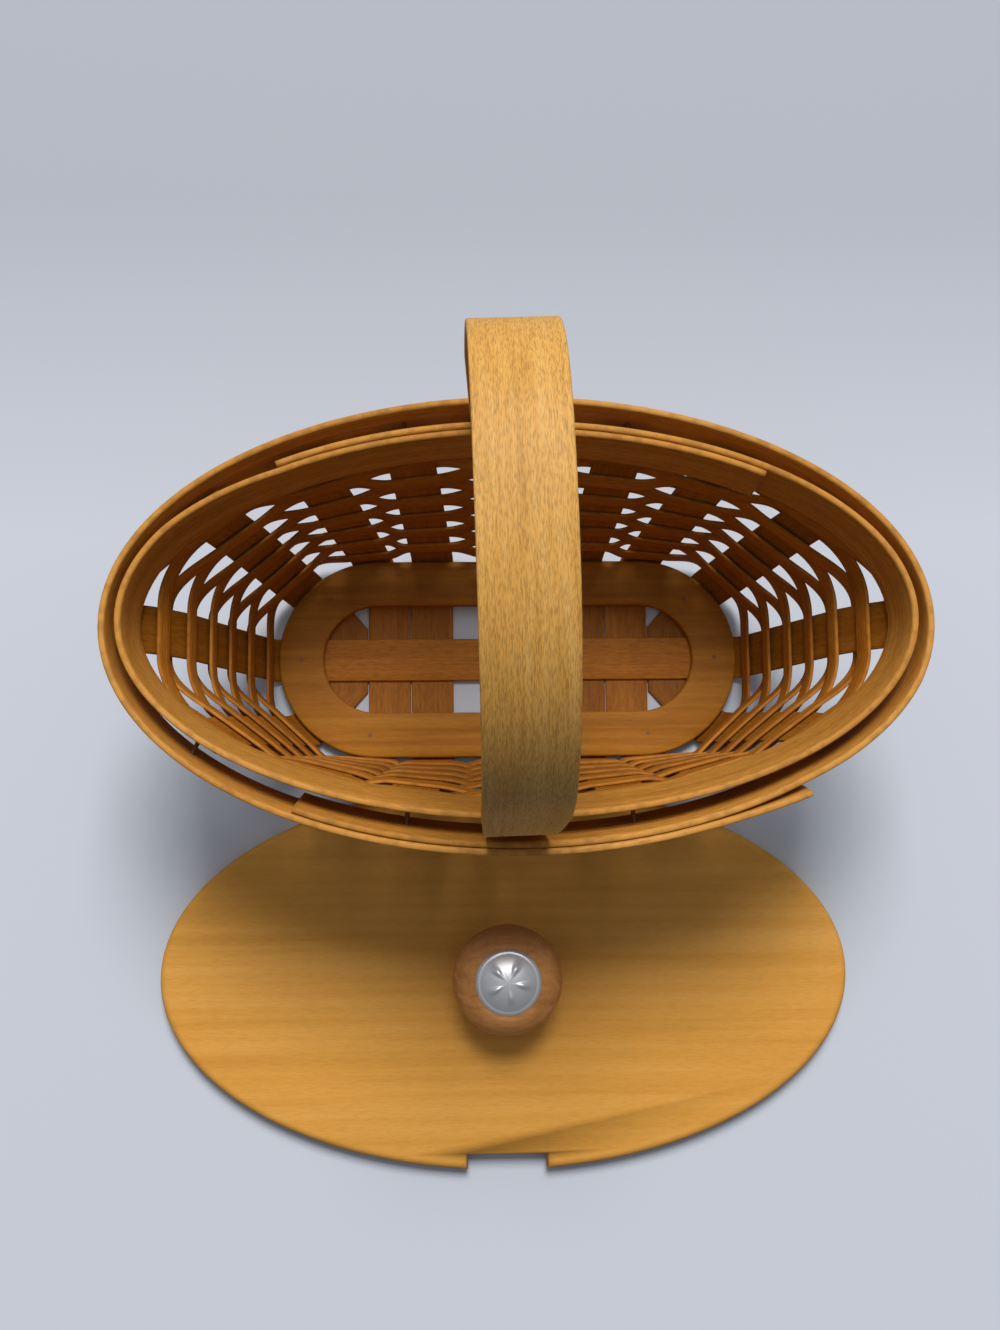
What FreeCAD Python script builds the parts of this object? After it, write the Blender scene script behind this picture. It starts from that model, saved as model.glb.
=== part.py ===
# Oval splint basket with a fixed strap handle, and its loose wooden lid lying in front.
# All lengths are in millimetres. +Z is up, X runs along the basket, and the handle
# stands across its middle. The origin is the centre of the basket's underside.
import FreeCAD, Part
import math
import os
from FreeCAD import Vector

os.makedirs("parts", exist_ok=True)

# Splints: thin strips of wood that form the bottom and stand up as stakes.
splint_thickness = 1.0
splint_width = 13.0
crosswise_per_side = 3
splint_gap = 0.3
first_splint_share = 0.333
outer_flat_half = 10.0
layer_gap = 0.05

# Base ring that lies on the bottom splints.
ring_half_length = 71.1
ring_half_width = 30.6
ring_band_width = 13.9
ring_thickness = 3.5
ring_edge_radius = 0.8
ring_side_gap = 0.4
ring_notch_gap = 0.3

# Brads through the base ring, each as an angle round the ring's end, in degrees from the far side.
ring_brad_radius = 0.7
brad_gap = 0.03
ring_brad_degrees = (90, 174, 38)

# Wall: the middle surface of the stakes. It rises nearly straight from the base ring, towards a
# slightly narrower rim, and turns outwards below the bands to pass between them.
rim_height = 84.5
wall_half_length = 104.8
wall_half_width = 52.8
wall_shift = 1.4
straight_side_in = 2.5
straight_shift = 1.2
turn_depth = 24.0
heel_bulge = 0.01

# Where the stakes of one quarter start, as shares of the way round from the middle of a side.
foot_shares = (0.0, 0.26, 0.47, 0.73, 1.0)
fan_step = 16.3
fan_power = 6
stake_end_drop = 5.5

# Weavers: narrow strips, one closed row above the other.
weaver_rows = 12
weaver_thickness = 0.9
weave_start = 5.0
row_gap = 0.3
weave_gap = 0.08
crossing_inset = 0.3
weaver_butt_gap = 0.3
span_steps = 4
weaver_stand_off = 0.6

# Rim bands.
band_height = 16.0
band_thickness = 1.8
band_layer_gap = 0.15
band_stake_gap = 0.18
band_samples = 6
band_lean = 0.13
near_lean = 0.17
outer_end_room = 3.4
outer_side_room = 7.2
sprung_lift = 1.9

# Where the bands start and lap, counted in stakes round the rim from the right end.
inner_lap_numbers = (1.65, 6.24)
outer_lap_numbers = (9.99, 14.55)
lap_ramp_count = 1.1
sprung_count = 1.15

# Strap handle.
strap_width = 21.6
strap_thickness = 2.2
strap_end_thickness = 1.5
strap_gap = 0.35
strap_turn = 1.55
strap_x = -1.5
strap_end_depth = 15.5
strap_rise = 79.0
shoulder_rise = 30.0
shoulder_out = 3.3
strap_lean = 0.17
arch_power = 2.2
arch_samples = 18
leg_samples = 4
taper_rise = 28.0
thinning_rise = 20.0
taper_right = 6.0
taper_left = 2.2

# Brads through the rim, and the stakes that they pass through.
rim_brad_radius = 0.6
rim_brad_drop = 8.0
rim_brad_numbers = (1, 3, 4, 5, 9, 11, 12, 13)

# Lid, taken off and lying on the surface in front of the basket.
lid_half_length = 104.0
lid_half_width = 57.5
lid_thickness = 6.4
lid_top_radius = 2.4
lid_bottom_radius = 1.2
lid_notch_gap = 0.8
lid_notch_side_gap = 1.0
lid_x = -2.0
lid_heel_distance = 5.8

# Knob with its screw and tack.
knob_foot_radius = 10.0
knob_neck_radius = 9.2
knob_foot_height = 9.0
knob_head_radius = 16.0
knob_head_height = 15.0
tack_radius = 9.5
tack_rise = 3.0
tack_shank_radius = 1.0
tack_shank_length = 7.0
screw_radius = 2.0
screw_length = 17.0
screw_head_radius = 4.0
screw_head_height = 2.2
fastener_gap = 0.04

# Stakes are numbered counterclockwise from the right end: four quarters of four.
quarter = crosswise_per_side + 1
stake_count = 4 * quarter
row_pitch = (rim_height - band_height - weave_start) / weaver_rows
base_radius = ring_half_width + ring_side_gap + splint_thickness / 2
base_straight = ring_half_length - ring_half_width
base_level = splint_thickness / 2
ring_bottom = splint_thickness + layer_gap
ring_top = ring_bottom + ring_thickness
band_bottom = rim_height - band_height
outer_half_length = wall_half_length + outer_end_room
outer_half_width = wall_half_width + outer_side_room
strap_end_height = rim_height - strap_end_depth
shoulder_half_width = wall_half_width + shoulder_out


def save(node, shape):
    """Write one node and say what it holds."""
    shape.exportStep("parts/" + node + ".step")
    print(node, "solids", len(shape.Solids), "volume", round(shape.Volume, 1), "valid", shape.isValid())


def unit(x, y):
    """Direction of (x, y) with length one."""
    length = math.hypot(x, y)
    return x / length, y / length


def folded(place):
    """Split a place round the wall into its whole turns, quarter and step from the middle of a side."""
    turns, rest = divmod(place, stake_count)
    side, part = divmod(rest, quarter)
    step = quarter - part if side % 2 == 0 else part
    return turns, int(side), step


def rim_angle(place):
    """Angle round the rim ellipse, in radians. The stakes crowd at the sides and spread to the ends."""
    turns, side, step = folded(place)
    fan = fan_step * step + (90 - fan_step * quarter) * (step / quarter) ** fan_power
    middle = 90 if side < 2 else 270
    sign = -1 if side % 2 == 0 else 1
    return math.radians(360 * turns + middle + sign * fan)


def base_point(place):
    """Point where the wall starts, on the outline just outside the base ring."""
    turns, side, step = folded(place)
    low = min(int(step), quarter - 1)
    part = foot_shares[low] + (foot_shares[low + 1] - foot_shares[low]) * (step - low)
    way = part * (base_straight + base_radius * math.pi / 2)
    turn = max(0.0, way - base_straight) / base_radius
    x = min(way, base_straight) + base_radius * math.sin(turn)
    y = base_radius * math.cos(turn)
    return (x if side in (0, 3) else -x), (y if side < 2 else -y)


def base_normal(place):
    """Outward direction of the base outline."""
    x, y = base_point(place)
    beyond = max(0.0, abs(x) - base_straight)
    return unit(math.copysign(beyond, x), y)


def rim_point(place):
    """Point of the wall's middle surface at the height of the rim."""
    angle = rim_angle(place)
    return wall_half_length * math.cos(angle), wall_shift + wall_half_width * math.sin(angle)


def rim_normal(place):
    """Outward direction of the rim ellipse."""
    angle = rim_angle(place)
    return unit(math.cos(angle) / wall_half_length, math.sin(angle) / wall_half_width)


def share(height):
    """How far the wall has gone from the base to the rim, with a rounded heel."""
    part = (height - base_level) / (rim_height - base_level)
    return part + heel_bulge * math.sin(math.pi * min(2 * part, 1.0))


def band_point(place, height):
    """Point of the stakes' middle surface between the bands, where it leans only a little."""
    x, y = rim_point(place)
    nx, ny = rim_normal(place)
    lean = band_lean + near_lean * max(0.0, -math.sin(rim_angle(place)))
    drop = rim_height - height
    return x - nx * lean * drop, y - ny * lean * drop


def straight_point(place, height):
    """Point of the straight part of the wall, on the way to its own narrower rim."""
    angle, low, part = rim_angle(place), base_point(place), share(height)
    x = wall_half_length * math.cos(angle)
    y = wall_shift + straight_shift + (wall_half_width - straight_side_in) * math.sin(angle)
    return low[0] + (x - low[0]) * part, low[1] + (y - low[1]) * part


def wall_point(place, height):
    """Point of the stakes' middle surface at a place round the wall and a height."""
    if height >= band_bottom:
        return band_point(place, height)
    x, y = straight_point(place, height)
    start, end = straight_point(place, band_bottom), band_point(place, band_bottom)
    part = max(0.0, 1 - (band_bottom - height) / turn_depth) ** 2
    return x + (end[0] - start[0]) * part, y + (end[1] - start[1]) * part


def wall_normal(place, height):
    """Level outward direction of the wall. Between the bands it is the direction of the rim."""
    low, high = base_normal(place), rim_normal(place)
    part = min(1.0, (height - base_level) / (band_bottom - base_level))
    return unit(low[0] + (high[0] - low[0]) * part, low[1] + (high[1] - low[1]) * part)


def stake_section(place, height, along):
    """Four corners of a stake in a level plane: inner face, then outer face."""
    x, y = wall_point(place, height)
    nx, ny = wall_normal(place, height)
    tx, ty = (-ny, nx) if -ny * along[0] + nx * along[1] > 0 else (ny, -nx)
    reach, half = splint_width / 2, splint_thickness / 2
    corners = ((-reach, -half), (reach, -half), (reach, half), (-reach, half))
    return [Vector(x + tx * s + nx * d, y + ty * s + ny * d, height) for s, d in corners]


def lofted(sections):
    """Solid through closed sections of the same number of points, with straight sides."""
    wires = [Part.makePolygon(section + section[:1]) for section in sections]
    return Part.makeLoft(wires, True, True)


def stake_levels():
    """Heights of the stake's sections: the borders of the weaver rows, then its top."""
    rows = [weave_start + row_pitch * row for row in range(weaver_rows + 1)]
    return rows + [rim_height - stake_end_drop]


def splint(first, last, along, lift, flat_half, middle):
    """Strip that stands at place first, crosses the bottom at height lift and stands at place last.

    Its flat middle part reaches flat_half to each side of the centre, and lies at middle along the bottom.
    """
    up = []
    for place in (first, last):
        levels = [stake_section(place, height, along) for height in stake_levels()]
        foot = stake_section(place, base_level, along)
        heel = [Vector(p.x, p.y, lift + splint_thickness) for p in foot[:2]]
        heel += [Vector(p.x, p.y, lift) for p in foot[2:]]
        up.append([heel] + levels)
    bottom = []
    for place in (first, last):
        x, y = base_point(place)
        nx, ny = unit(-along[1], along[0])
        out = math.copysign(flat_half, x * nx + y * ny)
        ends = [middle - splint_width / 2, middle + splint_width / 2]
        low = [Vector(along[0] * e + nx * out, along[1] * e + ny * out, lift) for e in ends]
        high = [p + Vector(0, 0, splint_thickness) for p in low]
        bottom.append([high[0], high[1], low[1], low[0]])
    return lofted(up[0][::-1] + bottom + up[1])


def crosswise_splint(number):
    """Splint across the bottom, numbered from the middle: -3 at the left to 3 at the right."""
    far = quarter - number
    near = 3 * quarter + number
    beyond = first_splint_share * ring_half_length + (abs(number) - 1) * (splint_width + splint_gap)
    middle = math.copysign(beyond, number) if number else 0.0
    outermost = abs(number) == crosswise_per_side
    flat_half = outer_flat_half if outermost else ring_half_width - ring_band_width
    return splint(near, far, (1.0, 0.0), 0.0, flat_half, middle)


def lengthwise_splint():
    """Splint along the bottom on top of the crosswise ones. Its ends are the two end stakes."""
    return splint(2 * quarter, 0, (0.0, -1.0), ring_bottom, ring_half_length - ring_band_width, 0.0)


def smooth_edge(points):
    """Edge of one smooth curve through the points."""
    curve = Part.BSplineCurve()
    curve.interpolate(points)
    return curve.toShape()


def offset_strip(line, thickness):
    """Outline of a strip of even thickness about an open line, with mitred corners."""
    left, right = [], []
    for index, (x, y) in enumerate(line):
        before = line[max(index - 1, 0)]
        after = line[min(index + 1, len(line) - 1)]
        d1 = unit(x - before[0], y - before[1]) if index > 0 else None
        d2 = unit(after[0] - x, after[1] - y) if index < len(line) - 1 else None
        d1, d2 = d1 or d2, d2 or d1
        mitre = 1 + d1[0] * d2[0] + d1[1] * d2[1]
        nx, ny = (d1[1] + d2[1]) / mitre, -(d1[0] + d2[0]) / mitre
        left.append((x + nx * thickness / 2, y + ny * thickness / 2))
        right.append((x - nx * thickness / 2, y - ny * thickness / 2))
    return left + right[::-1]


def weaver_crossing(row, place, rise):
    """Middle of a weaver where it passes a stake, and the wall's direction there.

    Where the wall turns sharply, at the ends, a straight strip can't lean with the stake: it stands
    upright and touches the stake with one edge.
    """
    middle = weave_start + row_pitch * (row + 0.5)
    low, high = wall_point(place, middle - row_pitch / 2), wall_point(place, middle + row_pitch / 2)
    nx, ny = wall_normal(place, middle + rise)
    part = 0.5 + rise / row_pitch
    x, y = low[0] + (high[0] - low[0]) * part, low[1] + (high[1] - low[1]) * part
    step_out = (high[0] - low[0]) * nx + (high[1] - low[1]) * ny
    upright = 1 - abs(math.sin(rim_angle(place)))
    stand_off = min(max(0.0, step_out) * upright / 2, weaver_stand_off)
    side = -1 if (place + row) % 2 == 0 else 1
    swing = (splint_thickness + weaver_thickness) / 2 + weave_gap + stand_off
    out = side * swing - stand_off * rise / (row_pitch / 2)
    return (x + nx * out, y + ny * out), (-ny, nx)


def span(start, start_way, end, end_way):
    """Points of a weaver between two stakes, on a smooth curve that leaves and arrives along them."""
    reach = math.hypot(end[0] - start[0], end[1] - start[1])
    points = []
    for step in range(1, span_steps):
        t = step / span_steps
        here, leaving = (1 + 2 * t) * (1 - t) ** 2, reach * t * (1 - t) ** 2
        there, arriving = t * t * (3 - 2 * t), reach * t * t * (t - 1)
        x = here * start[0] + leaving * start_way[0] + there * end[0] + arriving * end_way[0]
        y = here * start[1] + leaving * start_way[1] + there * end[1] + arriving * end_way[1]
        points.append((x, y))
    return points


def weaver_line(row, rise):
    """Line of a weaver in the level plane that lies at a rise above its middle."""
    reach = splint_width / 2 + crossing_inset
    start = 2 * quarter + 1 + row % 2
    line, left = [], None
    for step in range(stake_count + 1):
        centre, way = weaver_crossing(row, start + step, rise)
        before = weaver_butt_gap / 2 if step == 0 else -reach
        after = -weaver_butt_gap / 2 if step == stake_count else reach
        first, last = [(centre[0] + way[0] * s, centre[1] + way[1] * s) for s in (before, after)]
        if left:
            line += span(*left, first, way)
        line += [first, last]
        left = last, way
    return line


def weaver(row):
    """One weaver row, counted from 0 at the bottom, as a strip whose ends butt outside a stake."""
    middle = weave_start + row_pitch * (row + 0.5)
    sections = []
    for rise in (row_gap / 2 - row_pitch / 2, row_pitch / 2 - row_gap / 2):
        outline = offset_strip(weaver_line(row, rise), weaver_thickness)
        sections.append([Vector(x, y, middle + rise) for x, y in outline])
    return lofted(sections)


def band_offset(place, lap):
    """Offset of a band from its outermost course: one layer in along the lap, then back out."""
    beyond = (place - lap[1]) / lap_ramp_count
    return -(band_thickness + band_layer_gap) * min(1.0, max(0.0, 1 - beyond))


def sprung_offset(place, end):
    """Extra offset of a free end that stands a little open."""
    part = max(0.0, 1 - (end - place) / sprung_count)
    return sprung_lift * part ** 2


def band(course, lap, sprung):
    """Bent strip that starts at the first place of the lap, goes once round and ends at the second."""
    end = stake_count + lap[1]
    steps = round((end - lap[0]) * band_samples)
    low_faces, high_faces = ([], []), ([], [])
    for step in range(steps + 1):
        place = lap[0] + (end - lap[0]) * step / steps
        away = band_offset(place, lap) + (sprung_offset(place, end) if sprung else 0.0)
        top, low = wall_point(place, rim_height), wall_point(place, band_bottom)
        for side, depth in ((0, 0.0), (1, -band_thickness)):
            x, y = course(place, away + depth)
            high_faces[side].append(Vector(x, y, rim_height))
            low_faces[side].append(Vector(x + low[0] - top[0], y + low[1] - top[1], band_bottom))
    wires = []
    for outer, inner in (low_faces, high_faces):
        curves = [smooth_edge(outer), smooth_edge(inner[::-1])]
        ends = [Part.makeLine(outer[-1], inner[-1]), Part.makeLine(inner[0], outer[0])]
        wires.append(Part.Wire([curves[0], ends[0], curves[1], ends[1]]))
    return Part.makeLoft(wires, True, True)


def inner_course(place, away):
    """Outer face of the inner band: just inside the stakes, moved outwards by away."""
    x, y = rim_point(place)
    nx, ny = rim_normal(place)
    depth = away - splint_thickness / 2 - band_stake_gap
    return x + nx * depth, y + ny * depth


def outer_course(place, away):
    """Outer face of the outer band, on its own ellipse, moved outwards by away."""
    angle = rim_angle(place)
    nx, ny = unit(math.cos(angle) / outer_half_length, math.sin(angle) / outer_half_width)
    return outer_half_length * math.cos(angle) + nx * away, outer_half_width * math.sin(angle) + ny * away


def inner_rim_band():
    """Inner band, lapped on the far side."""
    return band(inner_course, inner_lap_numbers, False)


def outer_rim_band():
    """Outer band, lapped on the near side, with its free end sprung a little open."""
    return band(outer_course, outer_lap_numbers, True)


def strap_leg(place, side):
    """Points of one leg between the bands, from its end up to the rim."""
    clear = splint_thickness / 2 + strap_gap + strap_end_thickness / 2
    heights = [strap_end_height + (rim_height - strap_end_height) * n / leg_samples for n in range(leg_samples + 1)]
    return [(wall_point(place, height)[1] + side * clear, height) for height in heights]


def strap_line():
    """Middle line of the strap in the YZ plane, from the near end over the top to the far end."""
    near, far = strap_leg(3 * quarter, -1), strap_leg(quarter, 1)
    middle = (near[-1][0] + far[-1][0]) / 2
    shoulder = rim_height + shoulder_rise
    arch = []
    for step in range(arch_samples + 1):
        turn = math.pi * (1 - step / arch_samples)
        c, s = math.cos(turn), math.sin(turn)
        y = middle + shoulder_half_width * math.copysign(abs(c) ** (2 / arch_power), c)
        z = shoulder + (strap_rise - shoulder_rise) * abs(s) ** (2 / arch_power)
        arch.append((y + strap_lean * (z - rim_height), z))
    return near + arch + far[::-1]


def strap_half_thickness(height):
    """Half the strap's thickness: its ends are shaved thinner where they go down between the bands."""
    part = min(1.0, max(0.0, (height - rim_height) / thinning_rise))
    return (strap_end_thickness + (strap_thickness - strap_end_thickness) * part) / 2


def strap_handle():
    """Bent strap with both ends tapered where they go down between the bands."""
    line = strap_line()
    middle = Part.BSplineCurve()
    middle.interpolate([Vector(0, y, z) for y, z in line])
    faces = [[], []]
    count = 6 * arch_samples
    for step in range(count + 1):
        at = middle.FirstParameter + (middle.LastParameter - middle.FirstParameter) * step / count
        point, slope = middle.value(at), middle.tangent(at)[0]
        across = Vector(0, -slope.z, slope.y)
        faces[0].append(point + across * strap_half_thickness(point.z))
        faces[1].append(point - across * strap_half_thickness(point.z))
    curves = [smooth_edge(faces[0]), smooth_edge(faces[1][::-1])]
    ends = [Part.makeLine(faces[0][-1], faces[1][-1]), Part.makeLine(faces[1][0], faces[0][0])]
    outline = Part.Face(Part.Wire([curves[0], ends[0], curves[1], ends[1]]))
    outline.translate(Vector(-strap_width / 2, 0, 0))
    strap = outline.extrude(Vector(strap_width, 0, 0))
    reach = outer_half_width + strap_rise
    top, bottom = rim_height + taper_rise, strap_end_height - 1
    for side, cut in ((1, taper_right), (-1, taper_left)):
        edge = side * strap_width / 2
        corners = [(edge, top), (edge - side * cut, bottom), (edge + side * cut, bottom), (edge + side * cut, top)]
        points = [Vector(x, -reach, z) for x, z in corners]
        wedge = Part.Face(Part.makePolygon(points + points[:1])).extrude(Vector(0, 2 * reach, 0))
        strap = strap.cut(wedge)
    strap.rotate(Vector(0, 0, 0), Vector(0, 0, 1), strap_turn)
    strap.translate(Vector(strap_x, 0, 0))
    return strap


def stadium(half_length, half_width, low, high):
    """Upright solid with straight sides and round ends."""
    straight = half_length - half_width
    corners = [Vector(straight, -half_width, low), Vector(straight, half_width, low)]
    corners += [Vector(-straight, half_width, low), Vector(-straight, -half_width, low)]
    right = Part.Arc(corners[0], Vector(half_length, 0, low), corners[1]).toShape()
    left = Part.Arc(corners[2], Vector(-half_length, 0, low), corners[3]).toShape()
    sides = [Part.makeLine(corners[1], corners[2]), Part.makeLine(corners[3], corners[0])]
    outline = Part.Wire([right, sides[0], left, sides[1]])
    return Part.Face(outline).extrude(Vector(0, 0, high - low))


def ring_brad_points():
    """Places of the brads on the ring's middle line: one pair for each angle, left and right."""
    radius = ring_half_width - ring_band_width / 2
    points = []
    for angle in ring_brad_degrees:
        x = base_straight + radius * math.sin(math.radians(angle))
        y = radius * math.cos(math.radians(angle))
        points += [(x, y), (-x, y)]
    return points


def ring_brad_holes(low, high):
    """Cylinders to cut for the brads, between two heights."""
    radius = ring_brad_radius + brad_gap
    holes = [Part.makeCylinder(radius, high - low, Vector(x, y, low)) for x, y in ring_brad_points()]
    return Part.makeCompound(holes)


def base_ring():
    """Flat oval ring, notched below at both ends for the lengthwise splint."""
    ring = stadium(ring_half_length, ring_half_width, ring_bottom, ring_top)
    inner_length, inner_width = ring_half_length - ring_band_width, ring_half_width - ring_band_width
    ring = ring.cut(stadium(inner_length, inner_width, ring_bottom - 1, ring_top + 1))
    rim_edges = [edge for edge in ring.Edges if edge.BoundBox.ZMin > ring_top - 0.01]
    ring = ring.makeFillet(ring_edge_radius, rim_edges)
    width = splint_width + 2 * ring_notch_gap
    depth = splint_thickness + layer_gap
    notch = Part.makeBox(2 * ring_half_length + 2, width, depth + 1)
    notch.translate(Vector(-ring_half_length - 1, -width / 2, ring_bottom - 1))
    return ring.cut(notch).cut(ring_brad_holes(ring_bottom - 1, ring_top + 1))


def ring_brads():
    """Brads flush with the top of the ring, down into the splints below it."""
    length = ring_top
    brads = [Part.makeCylinder(ring_brad_radius, length, Vector(x, y, 0)) for x, y in ring_brad_points()]
    return Part.makeCompound(brads)


def rim_brad_line(place):
    """Level line of one brad: from inside the inner band to the outer face of the outer band."""
    height = rim_height - rim_brad_drop
    top, here = wall_point(place, rim_height), wall_point(place, height)
    sink = Vector(here[0] - top[0], here[1] - top[1], height)
    start = Vector(*inner_course(place, -band_thickness / 2), 0) + sink
    return start, Vector(*outer_course(place, 0.0), 0) + sink


def rim_brads():
    """Level brads through both bands, at chosen stakes and at the ends of the handle."""
    brads = []
    for place in rim_brad_numbers:
        start, end = rim_brad_line(place)
        brads.append(Part.makeCylinder(rim_brad_radius, (end - start).Length, start, end - start))
    return Part.makeCompound(brads)


def rim_brad_holes():
    """Cylinders to cut for the rim brads."""
    holes = []
    for place in rim_brad_numbers:
        start, end = rim_brad_line(place)
        axis = (end - start).normalize()
        length = (end - start).Length + brad_gap + 2
        holes.append(Part.makeCylinder(rim_brad_radius + brad_gap, length, start - axis * brad_gap, axis))
    return Part.makeCompound(holes)


def lid_centre():
    """Middle of the lid: its far edge lies just in front of the basket's heel, under the flared rim."""
    heel = wall_point(3 * quarter, lid_thickness)[1] - splint_thickness / 2
    return lid_x, heel - lid_heel_distance - lid_half_width


def lid_board():
    """Oval board with rounded edges, notched on both sides for the handle, bored for the screw."""
    ellipse = Part.Ellipse(Vector(0, 0, 0), lid_half_length, lid_half_width)
    board = Part.Face(Part.Wire(ellipse.toShape())).extrude(Vector(0, 0, lid_thickness))
    top = [edge for edge in board.Edges if edge.BoundBox.ZMin > lid_thickness - 0.01]
    board = board.makeFillet(lid_top_radius, top)
    bottom = [edge for edge in board.Edges if edge.BoundBox.ZMax < 0.01]
    board = board.makeFillet(lid_bottom_radius, bottom)
    notch_width = strap_width + 2 * lid_notch_side_gap
    notch_from = wall_half_width + splint_thickness / 2 + strap_gap - lid_notch_gap
    for side in (1, -1):
        notch = Part.makeBox(notch_width, lid_half_width, lid_thickness + 2)
        notch.translate(Vector(-notch_width / 2, notch_from if side > 0 else -notch_from - lid_half_width, -1))
        board = board.cut(notch)
    hole = Part.makeCylinder(screw_radius + fastener_gap, lid_thickness + 2, Vector(0, 0, -1))
    sink = Part.makeCone(screw_head_radius + fastener_gap, screw_radius + fastener_gap, screw_head_height)
    board = board.cut(hole).cut(sink)
    board.translate(Vector(*lid_centre(), 0))
    return board


def lid_knob():
    """Turned knob: a waisted foot under a wide domed head, bored for the screw and the tack."""
    foot_top = lid_thickness + knob_foot_height
    head_top = foot_top + knob_head_height
    widest = foot_top + 0.45 * knob_head_height
    flat = 1.1 * tack_radius
    profile = [
        Part.makeLine(Vector(0, 0, lid_thickness), Vector(knob_foot_radius, 0, lid_thickness)),
        Part.Arc(
            Vector(knob_foot_radius, 0, lid_thickness),
            Vector(knob_neck_radius, 0, lid_thickness + 0.6 * knob_foot_height),
            Vector(knob_foot_radius, 0, foot_top),
        ).toShape(),
        Part.Arc(
            Vector(knob_foot_radius, 0, foot_top),
            Vector(0.9 * knob_head_radius, 0, foot_top + 0.16 * knob_head_height),
            Vector(knob_head_radius, 0, widest),
        ).toShape(),
        Part.Arc(
            Vector(knob_head_radius, 0, widest),
            Vector(0.89 * knob_head_radius, 0, widest + 0.35 * knob_head_height),
            Vector(flat, 0, head_top),
        ).toShape(),
        Part.makeLine(Vector(flat, 0, head_top), Vector(0, 0, head_top)),
        Part.makeLine(Vector(0, 0, head_top), Vector(0, 0, lid_thickness)),
    ]
    knob = Part.Face(Part.Wire(profile)).revolve(Vector(0, 0, 0), Vector(0, 0, 1), 360)
    bore = Part.makeCylinder(screw_radius + fastener_gap, screw_length + fastener_gap)
    shank_hole = Part.makeCylinder(tack_shank_radius + fastener_gap, tack_shank_length + 2)
    shank_hole.translate(Vector(0, 0, head_top - tack_shank_length - fastener_gap))
    knob = knob.cut(bore).cut(shank_hole)
    knob.translate(Vector(*lid_centre(), 0))
    return knob


def knob_screw():
    """Countersunk screw, flush with the underside of the lid."""
    head = Part.makeCone(screw_head_radius, screw_radius, screw_head_height)
    screw = head.fuse(Part.makeCylinder(screw_radius, screw_length)).removeSplitter()
    screw.translate(Vector(*lid_centre(), 0))
    return screw


def knob_tack():
    """Round metal tack with a low domed head on top of the knob."""
    head_top = lid_thickness + knob_foot_height + knob_head_height
    ball_radius = (tack_radius ** 2 + tack_rise ** 2) / (2 * tack_rise)
    ball = Part.makeSphere(ball_radius, Vector(0, 0, head_top + tack_rise - ball_radius))
    slab = Part.makeCylinder(tack_radius + 1, tack_rise + 1, Vector(0, 0, head_top))
    shank = Part.makeCylinder(tack_shank_radius, tack_shank_length, Vector(0, 0, head_top - tack_shank_length))
    tack = ball.common(slab).fuse(shank)
    tack.translate(Vector(*lid_centre(), 0))
    return tack


# Splints, with the holes of the brads that hold the base ring and the rim.
low_holes = ring_brad_holes(-1, ring_bottom + splint_thickness + 1)
high_holes = rim_brad_holes()
numbers = range(-crosswise_per_side, crosswise_per_side + 1)
for index, number in enumerate(numbers, 1):
    save("crosswise_splint_%02d" % index, crosswise_splint(number).cut(low_holes).cut(high_holes))
save("lengthwise_splint", lengthwise_splint().cut(low_holes))

for row in range(weaver_rows):
    save("weaver_row_%02d" % (row + 1), weaver(row))

save("inner_rim_band", inner_rim_band().cut(high_holes))
save("outer_rim_band", outer_rim_band().cut(high_holes))
save("rim_brads", rim_brads())
save("strap_handle", strap_handle().cut(high_holes))
save("base_ring", base_ring())
save("base_ring_brads", ring_brads())
save("lid_board", lid_board())
save("lid_knob", lid_knob())
save("knob_screw", knob_screw())
save("knob_tack", knob_tack())
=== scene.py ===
# %% [markdown]
# # A woven splint basket with a strap handle and a loose lid
# The basket is made of thin strips of maple. Seven strips cross the bottom and stand up as
# stakes, one more runs along it, and twelve narrow weavers go round, in turn inside and
# outside of the stakes. Two bent bands hold the top, with the ends of the handle between them.
# Every strip here is a surface that numpy works out as a function of two parameters.

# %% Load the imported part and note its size
import math
import bpy
import numpy as np
from mathutils import Matrix, Vector


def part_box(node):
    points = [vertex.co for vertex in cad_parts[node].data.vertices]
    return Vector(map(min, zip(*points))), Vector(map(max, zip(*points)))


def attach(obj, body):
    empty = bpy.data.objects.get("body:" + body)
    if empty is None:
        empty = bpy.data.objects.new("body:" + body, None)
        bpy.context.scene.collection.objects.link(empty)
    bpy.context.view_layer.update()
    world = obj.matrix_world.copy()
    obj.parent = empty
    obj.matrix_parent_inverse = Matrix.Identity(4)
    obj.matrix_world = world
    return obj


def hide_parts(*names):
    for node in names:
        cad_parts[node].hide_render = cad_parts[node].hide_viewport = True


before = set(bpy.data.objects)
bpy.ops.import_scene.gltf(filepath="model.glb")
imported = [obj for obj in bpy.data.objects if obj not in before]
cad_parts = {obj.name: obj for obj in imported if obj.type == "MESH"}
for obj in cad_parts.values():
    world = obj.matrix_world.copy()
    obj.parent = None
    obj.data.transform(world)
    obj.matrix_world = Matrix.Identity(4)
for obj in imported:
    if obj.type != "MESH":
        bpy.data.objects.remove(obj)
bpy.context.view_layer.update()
mm = 0.001
rng = np.random.default_rng(7)

# %% [markdown]
# ## The camera
# The photograph looks almost straight down into the basket, from a little to the near side.
# A camera can be fitted to it from known outlines: the rim is an oval of 216 by 120 mm, and
# the ring on the bottom is 142 mm long and 80 mm lower. The three turns and the distance
# below are the ones at which both outlines land where the photograph has them.

# %% Make the camera
camera_turns = (-6.41, 1.80, 0.60)
camera_shift = (5.08, 11.03, -386.57)
rim_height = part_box("inner_rim_band")[1].z / mm
focal_pixels = 1500
picture_height = 1330
sensor_width = 36


def turned_about(axis, degrees):
    """Rotation matrix about one axis."""
    return np.array(Matrix.Rotation(math.radians(degrees), 3, axis))


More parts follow.
